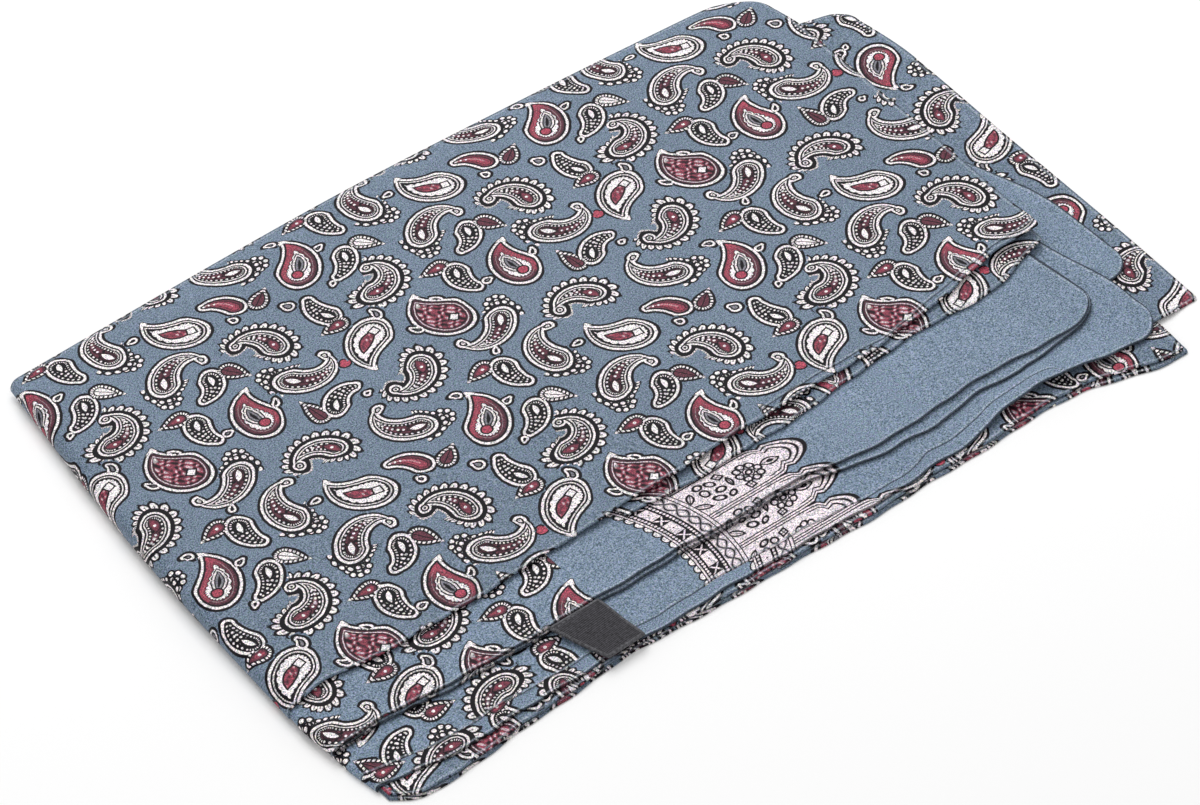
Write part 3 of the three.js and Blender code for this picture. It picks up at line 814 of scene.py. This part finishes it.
def paint_figures(f, ground, jitter):
    """Dyes of the print over its ground. Every figure is a stack of bands by inset from its
    outline, with beads, petals and dashes by the distance along the outline. Lengths are in
    millimetres."""
    x, y, kind = f.vector("figure_place")
    radius, long, spine = f.vector("figure_size")
    hook, wide, narrow = f.vector("figure_look")
    x = x + jitter[0]
    y = y + jitter[1]

    # the formula of figure_shape
    out_x = x + spine
    along = y.math("ARCTAN2", out_x) * spine
    t = (along / long).math("ADD", 0.0, clamp=True)
    from_centre = length(out_x, y)
    aside = from_centre - spine + hook * t * t * t
    share = narrow * t
    half = radius * (1 - share) ** PROFILE_POWER * (1 + share * PROFILE_POWER)
    bulb = (BULB_RADIUS - NO_BULB) * is_near(narrow, BULB_NARROW, 0.01) + NO_BULB
    round_end = length(aside + BULB_ASIDE, (along - long) * from_centre / spine)
    inset = most(half - length(aside, along - t * long), bulb - round_end)
    side = abs(aside)
    run = most(along, 0.0) - most(-along, 0.0).math("ARCTAN2", side) * radius

    (red, white, wine, curl, fringed, bean, red_bean, red_leaf, dark_leaf, white_leaf, bud,
     berry) = (is_near(kind, k) for k in range(len(KIND_LOOK)))
    rows = curl + fringed
    leaf = red_leaf + dark_leaf + white_leaf
    p = Painter(f, ground)
    lay = p.lay

    # a fringe of petals all round but in the hollow, and a small flower at a curl's base
    out = -inset
    petal_place = apart(run, PETAL_PITCH)
    hollow = above(-aside, 0.5) * above(along, 2.0)
    fringe = fringed * (1 - hollow * above(out, 1.5)) * below(out, 4.8)
    petal = 1.5 * (1 - least(most(out / 4.4, 0.0), 1.0) ** 3.0) - petal_place
    lay(INK_AND_SHADOW, above(petal, -0.25) * above(out, -0.3) * fringe)
    lay(CREAM, above(petal, 0.5) * between(out, 0.7, 3.3) * fringe)
    lay(INK_AND_SHADOW, below(petal_place, 0.16, 0.1) * between(out, 0.0, 2.1) * fringe)
    base_y = y + radius + 1.6
    from_base = length(x, base_y)
    outside = curl * above(out, -0.3)
    for circle, bead_size, beads in ((4.6, 1.9, 9), (1.9, 1.65, 4)):
        spaced = apart(x.math("ARCTAN2", -base_y) * circle, 2 * np.pi * circle / beads)
        p.dot(CREAM, length(spaced, from_base - circle), bead_size, 0.85, outside)
    lay(RED, below(from_base, 1.3) * outside * 0.6)
    beside = curl * above(run + radius * 1.5, 0.0) * below(run, 0.5, 0.2)
    p.dot(CREAM, length(petal_place, out - 1.2), 1.6, 0.8, beside)

    # outline and white band; deep is the inset from the line inside the band
    lay(INK_AND_SHADOW, above(inset, 0.0))
    deep = inset - wide - (FIRST_LINE + SECOND_LINE)
    inner = above(deep, 0.0)
    dashes = 1 - leaf * above(apart(run, 1.9), 0.56, 0.1)
    lay(CREAM, between(inset, FIRST_LINE, wide + FIRST_LINE) * dashes * (1 - berry))
    lay(RED, berry * above(inset, 0.8))

    # teardrops: a band of colour, a crown of petals and an almond heart
    lay(CREAM, above(t, 0.90, 0.03) * above(inset, 0.5) * (red + white + wine))
    ripple = abs(sine(run * (np.pi / 3.3)))
    tipward = above(t, 0.58, 0.28)
    hatch = above(apart(run + inset, 1.1), 0.27, 0.14)
    lay(CREAM, white * between(deep, 0.0, 0.6) * (1 - 0.5 * hatch * above(aside, 0.0, 2.0)))
    leaning = most(-aside, 0.0) * tipward * 0.45
    past = deep - (red * (2.9 - 0.8 * ripple + 2.0 * tipward + leaning)
                   + white * (1.75 - 0.7 * ripple + 0.9 * tipward) + wine * (0.9 + 0.5 * tipward))
    in_band = inner * below(past, 0.0) * red
    bright = most(above(-aside, 1.5, 1.6) * 0.8, above(t, 0.62, 0.12))
    lay(PLUM, in_band)
    lay(WINE, in_band * above(deep, 0.7, 0.3))
    lay(RED, in_band * bright * above(deep, 0.25, 0.2) * 0.85)
    lay(CREAM, in_band * between(deep, 1.5, 1.75) * (1 - bright) * 0.3)
    lay(CREAM, above(past, 0.5) * (red + white))
    sway = (sine(x * 0.7 + 0.6) - sine(y * 0.9)) * 1.3
    blotch = sine(x * 0.9 + y * 1.5 + sway) + sine(x * 1.9 - y * 0.7 - sway) * 0.8
    lay(PLUM, inner * wine)
    lay(BLUSH, wine * between(past, 0.0, 0.5) * 0.85)
    lay(WINE, wine * above(past, 0.5))
    inside = wine * above(past, 1.2)
    lay(RED, inside * above(blotch, -0.1, 0.4) * 0.55)
    lay(BLUSH, inside * above(blotch, 0.95, 0.25) * 0.6)
    lay(INK_AND_SHADOW, inside * below(blotch, -0.75, 0.4) * 0.85)
    lay(INK_AND_SHADOW, wine * between(past, 0.9, 1.6) * 0.8)
    lay(CREAM, inside * above(t, 0.66, 0.06) * between(aside, -0.6, 1.4, 0.3))
    almond = lens(along - long * 0.20, aside, 8.4, red * 0.7 + 3.2)
    core = above(past, 1.0)
    lay(INK_AND_SHADOW, above(almond, 0.0) * core * (red + white))
    lay(WINE, above(almond, 0.8) * core * white)
    lay(RED, above(almond, 1.0) * white * above(blotch, -0.4, 0.5) * 0.6)
    lay(BLUSH, above(almond, 1.2) * white * above(blotch, 1.0, 0.3) * 0.5)
    lay(CREAM, above(almond, 0.75) * core * red * 0.85)
    for dye, line in ((INK_AND_SHADOW, 1.6), (SLATE, 2.2), (INK_AND_SHADOW, 3.1)):
        lay(dye, above(almond, line) * core * red)
    eye = length(aside, along + radius * 0.12)
    lay(INK_AND_SHADOW, below(eye, 3.0) * red)
    lay(RED, below(eye, 2.2) * red * 0.9)
    p.dot(CREAM, most(side, abs(along + radius * 0.18)), 2.4, 0.8, white + wine)

    # curls, fringed figures and beans: a second line, then beads on a dark net, then a seed
    netted = rows + bean
    lay(CREAM, between(deep, 0.0, 0.55) * rows * 0.9)
    net = deep - rows * 1.15
    lay(WINE, above(net, 1.2, 0.3) * rows * above(blotch, -0.6, 0.4) * 0.9)
    lay(BLUSH, above(net, 1.6, 0.3) * fringed * above(blotch, 0.6, 0.25) * 0.5)
    for row_deep, size, period, phase, kinds in ((0.4, 0.5, 2.1, 0.0, netted),
                                                 (2.3, 0.6, 2.3, 0.9, bean)):
        bead = length(apart(run + phase, period), net - row_deep)
        on_net = kinds * above(net, -0.1)
        lay(INK_AND_SHADOW, below(bead, size + 0.35) * on_net)
        lay(CREAM, below(bead, size, 0.1) * on_net * 0.9)
    low = radius * 0.14 + 0.75
    seed = lens(along - 1.2, aside, low + 2.4, low)
    lay(INK_AND_SHADOW, above(seed, -0.8) * netted * inner)
    lay(WINE, above(seed, -0.2) * rows * inner)
    lay(RED, above(seed, 0.5) * fringed * inner * 0.3)
    lay(INK_AND_SHADOW, between(seed, 0.0, 0.5) * curl)
    lay(CREAM, above(seed, 0.6) * (curl + bean) * inner)
    lay(CREAM, below(length(aside, along - 1.6), 0.7) * fringed)
    veins = length(apart(along, 2.5), aside)
    lay(CREAM, below(veins, 0.6, 0.1) * rows * above(along, 7.0) * above(deep, 1.3))
    lay(WINE, inner * red_bean)
    lay(CREAM, inner * red_bean * between(aside, -0.2, 0.5, 0.2) * above(along, 1.0) * 0.8)
    lay(RED, above(deep, 0.6) * red_bean * above(-aside, -1.5, 1.0) * 0.7)
    lay(INK_AND_SHADOW, between(deep, 0.9, 1.3) * red_bean * above(aside, -2.5, 0.3))
    lay(CREAM, below(veins, 0.5, 0.1) * red_bean * above(along, 9.0) * inner)

    # leaves and buds
    blade = above(deep, -0.2) * leaf
    lay(WINE, blade * (red_leaf + dark_leaf))
    lay(CREAM, blade * white_leaf)
    lay(RED, above(deep, 0.7) * red_leaf * 0.45)
    lay(INK_AND_SHADOW, below(side, 0.25, 0.1) * blade * (1 - red_leaf))
    lay(CREAM, below(length(aside, along - 1.0), 0.75) * red_leaf)
    lay(CREAM, leaf * above(t, 0.84, 0.03) * above(inset, 0.3))
    lay(SLATE, inner * bud)
    return p.paint


# ornaments inside a tongue of the border: shape, how far along the tongue, how far aside,
# half length, half width, and turn in degrees
FLOWER, LEAF, SQUARE, OVAL = range(4)
TONGUE_ORNAMENTS = [
    (FLOWER, 29.5, -0.4, 6.6, 6.6, 0), (OVAL, 29.5, -0.4, 2.0, 1.5, 30),
    (LEAF, 40.0, -0.6, 4.6, 2.5, -8), (OVAL, 40.2, -0.6, 1.5, 1.0, 0),
    (SQUARE, 19.6, 6.0, 1.9, 1.9, 20), (SQUARE, 24.8, -6.8, 1.9, 1.9, 12),
    (OVAL, 9.5, 6.2, 2.6, 1.8, 20), (OVAL, 14.2, 4.6, 2.4, 1.9, -50),
    (OVAL, 8.6, 1.4, 2.6, 2.1, 70), (OVAL, 14.8, -0.8, 2.7, 1.9, 10),
    (OVAL, 10.6, -4.6, 2.9, 1.9, -30), (OVAL, 16.4, -5.8, 2.5, 1.6, 35),
    (LEAF, 2.4, 2.8, 3.8, 1.7, 50), (LEAF, 2.2, -4.4, 4.4, 1.8, -35),
    (LEAF, 20.6, 0.6, 3.6, 1.3, 75),
]
BORDER_EDGE = -54.7  # where the border starts on the inner flap, x
BORDER_MIDDLE = -116.7  # where its edge bulges most, y
LOBE_PITCH, LOBE_HALF, LOBE_BULGE = 84.0, 37.0, 9.0  # its lobed edge
SCALLOP_PITCH, BEAD_PITCH, BOX_PITCH, RIBBON_PITCH, TONGUE_PITCH = 4.7, 1.65, 12.6, 13.0, 22.6
TONGUES_FROM, TONGUE_HALF = 21.1, 11.0


def paint_border(f, ground, jitter):
    """A border of bands and tongues: scallops, beads, boxes and ribbons by the distance from
    its lobed edge, then tongues side by side, each with a double line and ornaments. Lengths
    are in millimetres."""
    across, up, _ = f.vector("border_place")
    across = across + jitter[0]
    up = up + jitter[1]
    p = Painter(f, ground)
    lay = p.lay
    lobe = apart(up, LOBE_PITCH) / LOBE_HALF
    d = across + lobe * lobe * LOBE_BULGE
    p.dot(CREAM, length(apart(up, SCALLOP_PITCH), d + 0.1), 2.5, 0.75)
    lay(INK_AND_SHADOW, above(d, 0.0))
    lay(BLUSH, between(d, 0.55, 1.35))
    beads = length(apart(up, BEAD_PITCH), least(abs(d - 2.6), abs(d - 10.6)))
    lay(BLUSH, below(beads, 0.62, 0.1))
    from_row = abs(d - 6.55)
    box_up, cross = apart(up, BOX_PITCH), apart(up + BOX_PITCH / 2, BOX_PITCH)
    lay(BLUSH, below(most(box_up - 2.9, from_row - 1.7), 0.75))
    lay(INK_AND_SHADOW, below(length(box_up, from_row), 0.45))
    lay(BLUSH, below(abs(cross - from_row), 0.5) * below(cross, 2.1))
    ribbon = between(d, 12.2, 18.6)
    lay(BLUSH, ribbon)
    wave = sine(up * (2 * np.pi / RIBBON_PITCH)) * 2.1
    for strand in (d - 15.4 - wave, d - 15.4 + wave):
        lay(SLATE, ribbon * below(abs(strand), 0.95) * 0.7)
        lay(INK_AND_SHADOW, ribbon * below(abs(strand), 0.38))
    lay(INK_AND_SHADOW, above(d, 18.6))
    lay(BLUSH, between(d, 19.2, 20.5))
    u = d - TONGUES_FROM
    right = above(u, 0.0)
    lay(ground, right)

    level = up + across * 0.05 + 4.0
    aside = level.math("WRAP", TONGUE_PITCH / 2, -TONGUE_PITCH / 2)
    reach = most(u - 31.0, 0.0) * (TONGUE_HALF / 25.0)
    notch = 1.7 * (1 - least(abs(u - 42.5) / 3.0, 1.0))
    inset = TONGUE_HALF - length(reach, aside) - notch
    lay(INK_AND_SHADOW, above(inset, -0.95) * right)
    lay(BLUSH, above(inset, 0.0) * right)
    lay(INK_AND_SHADOW, between(inset, 0.75, 1.4) * right)
    field = above(inset, 1.6) * right
    lay(INK_AND_SHADOW, below(abs(inset - 2.6), 0.3) * right * above(u, 33.0, 0.3))
    for shape, start, offset, long, half, turn in TONGUE_ORNAMENTS:
        c, s = np.cos(np.radians(turn)), np.sin(np.radians(turn))
        a = (u - start) * c + (aside - offset) * s
        b = (aside - offset) * c - (u - start) * s
        if shape == LEAF:
            body = lens(a, b, long, half)
        elif shape == SQUARE:
            body = half - most(abs(a), abs(b))
        elif shape == OVAL:
            body = (1 - length(a / long, b / half)) * half
        else:
            # eight round petals on a circle round an open eye
            away = length(a, b)
            ring = half * 0.68
            petals = apart(b.math("ARCTAN2", a) * ring, ring * np.pi / 4)
            body = half * 0.29 - length(petals, away - ring)
            lay(INK_AND_SHADOW, between(away, half * 0.30, half * 0.39) * field)
        lay(INK_AND_SHADOW, between(body, -0.1, 0.85) * field)
        if shape == SQUARE:
            lay(INK_AND_SHADOW, below(least(abs(a), abs(b)), 0.2) * above(body, 0.0) * field)
        if shape == LEAF:
            lay(INK_AND_SHADOW, below(abs(b), 0.2) * above(body, 0.3) * field)
    return p.paint


TWILL_BUMPS, CLOUD_BUMPS, WOBBLE_BUMPS, SATIN_BUMPS = 1600.0, 26.0, 420.0, 900.0  # to a metre
WOBBLE = 0.5  # how far the dyes run, millimetres
RIB_PITCH, STITCH_PITCH = 0.9, 2.4  # of the label


def silk_finish(name, ground, painter=None, rim_shadow=0.8):
    """Fine twill silk: speckled dye, a painted shadow line and a painted highlight along its free
    edges and along its crease, soft sheen and a low grain."""
    f = Finish(name)
    grain, tones = f.noise(TWILL_BUMPS, rough=0.7)
    cloud, _ = f.noise(CLOUD_BUMPS)
    paint = ground
    if painter:
        run = f.parts(f.noise(WOBBLE_BUMPS, 1.0)[1])
        paint = painter(f, ground, [(part - 0.5) * WOBBLE for part in run])
    edge, crease, _ = f.vector("edge_near")
    # painted highlight a little inside the free edges and beside the crease; painted shadow lines
    # at the free edges and in the crease
    pale = between(edge, 0.75, 1.7, 0.3) + between(crease, 0.3, 1.1, 0.3)
    dark = below(edge, 0.6, 0.2) * rim_shadow + between(crease, -0.5, 0.15, 0.2) * 0.7
    paint = f.mix(f.mix(paint, RIM_HIGHLIGHT, pale * 0.35), INK_AND_SHADOW, dark)
    tint = f.vector_math("MULTIPLY_ADD", tones, (1.1,) * 3, (0.45,) * 3)
    shade = most((grain - 0.5) * 4.4 + (cloud - 0.5) * 0.25 + 1.0, 0.25)
    f.shader.inputs["Sheen Weight"].default_value = 0.03
    f.shader.inputs["Sheen Roughness"].default_value = 0.4
    paint = f.vector_math("SCALE", f.vector_math("MULTIPLY", paint, tint), scale=shade)
    return f.surface(paint, grain * 0.16 + 0.44, 0.08, (0.25, 0.0004, grain))


def satin_finish(name):
    """Black woven satin: fine ribs across the label, a stitched top edge and a painted highlight
    along its edges, with a soft gloss."""
    f = Finish(name)
    across, up, edge = f.vector("label_place")
    grain, _ = f.noise(SATIN_BUMPS, rough=0.7)
    ribs = sine(up * (2 * np.pi / RIB_PITCH)) * 0.5 + 0.5
    stitch = between(up, -2.1, -1.6) * above(apart(across, STITCH_PITCH), 0.35)
    paint = f.mix(f.mix(SATIN_DARK, SATIN_LIGHT, ribs * 0.7), STITCH, stitch)
    # painted highlight along the label's edges
    paint = f.mix(paint, LABEL_EDGE_HIGHLIGHT, below(edge, 0.5, 0.25) * 0.6)
    paint = f.vector_math("SCALE", paint, scale=most((grain - 0.5) * 3.0 + 1.0, 0.3))
    return f.surface(paint, ribs * 0.12 + 0.36, 0.12, (0.4, 0.0003, ribs + grain + stitch))


# the printed silk gets a fainter painted shadow line along its edges
printed_silk = silk_finish("printed_silk", GROUND, paint_figures, rim_shadow=0.3)
flap_print = silk_finish("flap_print", PLAIN_GROUND, paint_figures)
plain_silk = silk_finish("plain_silk", PLAIN_GROUND)
border_silk = silk_finish("border_silk", PLAIN_GROUND, paint_border)
label_satin = satin_finish("label_satin")

# how the print lies on each stretch that was folded over: turn in degrees, the row of one
# figure and where that figure starts
PRINT_LAY = dict(inner_flap_upper=(-5, 4, -179.2, -101.2), outer_flap=(177.3, 11, -183.7, -114.4),
                 back_panel=(175, 4, 207.9, -12.2), front_return=(180, 4, 126.9, -86.7),
                 front_fold=(-3, 0, 150.4, -158.7), base_panel=(0, 34, 165.0, -161.6))
# a flap's figures end, and its border runs, between these places from left to right
FIGURES_END, BORDER_FROM, BORDER_TO = -98.0, -72.0, 45.0
BORDER_SHIFT = dict(outer_flap=(1.0, 3.1))  # how far the border is moved on a stretch
MARGIN_SHIFT = (26.0, 9.0)  # how far the border has slipped along the outer flap's margin
MARGIN_SLIP = (34.0, 12.0)  # and its figures
FLAPS = ("rear_flap", "outer_flap", "inner_flap_lower", "inner_flap_upper")
SLOTS = dict(care_label="label_satin", hidden_core="inner_silk",
             **dict.fromkeys(FLAPS, "plain_silk"))  # all others are printed_silk
LABEL_TOP_LEFT = (-122.0, -114.0)
LABEL_WALL, LABEL_RAISED = 1.7, 0.5  # a loop of tape pressed flat, and how far it stands up
LABEL_SLANT = 0.05


def dress(name, piece, quads, cloth, edge):
    """Materials by face: figures, plain silk and the border, with their attributes."""
    mesh = piece.data
    corners = cloth[quads]
    x, y = corners[..., 0], corners[..., 1]
    if name == "care_label":
        across = x - LABEL_TOP_LEFT[0]
        write_corners(mesh, "label_place", across,
                      y - LABEL_TOP_LEFT[1] - LABEL_SLANT * across, edge[quads][..., 0])
        mesh.materials.append(label_satin)
        return
    edge, crease = edge[quads][..., 0], edge[quads][..., 1]
    write_corners(mesh, "edge_near", edge, crease, 0 * x)
    margin = (crease.mean(axis=1) < 0)[:, None, None]
    slip = margin * np.array(MARGIN_SLIP) if name == "outer_flap" else 0
    lay_print(mesh, corners + slip, PRINT_LAY.get(name))
    if name not in FLAPS:
        mesh.materials.append(printed_silk)
        return
    for finish in (flap_print, plain_silk, border_silk):
        mesh.materials.append(finish)
    middle = x.mean(axis=1)
    index = np.where(middle > FIGURES_END, 1, 0)
    index[(middle > BORDER_FROM) & (middle < BORDER_TO)] = 2
    if name == "rear_flap":
        index[:] = 1
    mesh.polygons.foreach_set("material_index", index.astype(np.int32))
    shift = np.array(BORDER_SHIFT.get(name, (0, 0)), float) + np.zeros(x.shape + (2,))
    if name == "outer_flap":
        shift = shift + margin * np.array(MARGIN_SHIFT)
    write_corners(mesh, "border_place", x - BORDER_EDGE - shift[..., 0],
                  y - BORDER_MIDDLE - shift[..., 1], 0 * x)


# what each stretch rests on
for name in STRETCHES:
    half, rim = SILK / 2, round_rim(SILK)
    if name == "hidden_core":
        points, place, edge, half = core_grid()
        rim = layered_rim(CORE_PLIES, float(half.mean()))
    else:
        points, place, edge = turned_grid(name) if name in TURNS else flat_grid(name)
    if name == "care_label":
        half, rim = LABEL_WALL / 2, round_rim(LABEL_WALL)
        points[..., 2] += LABEL_RAISED
    piece, quads, cloth, edge = make_shell(name, points, place + SHIFT, edge, half, rim, SHIFT)
    dress(name, piece, quads, cloth, edge)
    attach(piece, "root")
    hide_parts(name)
    SLOTS.get(name, "printed_silk")
    size, area = flat_cut(place)


# ================= floor and light =================
def add_floor():
    """Pale level floor."""
    mesh = bpy.data.meshes.new("table_top")
    reach = 4.0  # metres each way from the middle
    mesh.from_pydata([(-reach, -reach, 0), (reach, -reach, 0), (reach, reach, 0),
                      (-reach, reach, 0)], [], [(0, 1, 2, 3)])
    floor = add_object("table_top", mesh)
    paper = bpy.data.materials.new("pale_table")
    paper.use_nodes = True
    shader = paper.node_tree.nodes["Principled BSDF"]
    shader.inputs["Base Color"].default_value = (0.985, 0.985, 0.985, 1)
    shader.inputs["Roughness"].default_value = 0.9
    mesh.materials.append(paper)


def add_light(name, place, aim, size, power):
    """Soft square light, its own -Z turned towards the aim."""
    data = bpy.data.lights.new(name, "AREA")
    data.size, data.energy = size, power
    back = unit(np.array(place, float) - aim)
    right = unit(np.cross((0, 1, 0.001), back))
    add_object(name, data, np.array([right, np.cross(back, right), back]).T, place)


SKY_STRENGTH, KEY_POWER = 0.66, 25.5
add_floor()
world = bpy.data.worlds.new("studio")
world.use_nodes = True
world.node_tree.nodes["Background"].inputs["Color"].default_value = (1, 1, 1, 1)
world.node_tree.nodes["Background"].inputs["Strength"].default_value = SKY_STRENGTH
bpy.context.scene.world = world
add_light("soft_key", (0.6, 1.2, 1.6), (0, 0, 0), 1.2, KEY_POWER)
bpy.context.scene.view_settings.view_transform = "Standard"
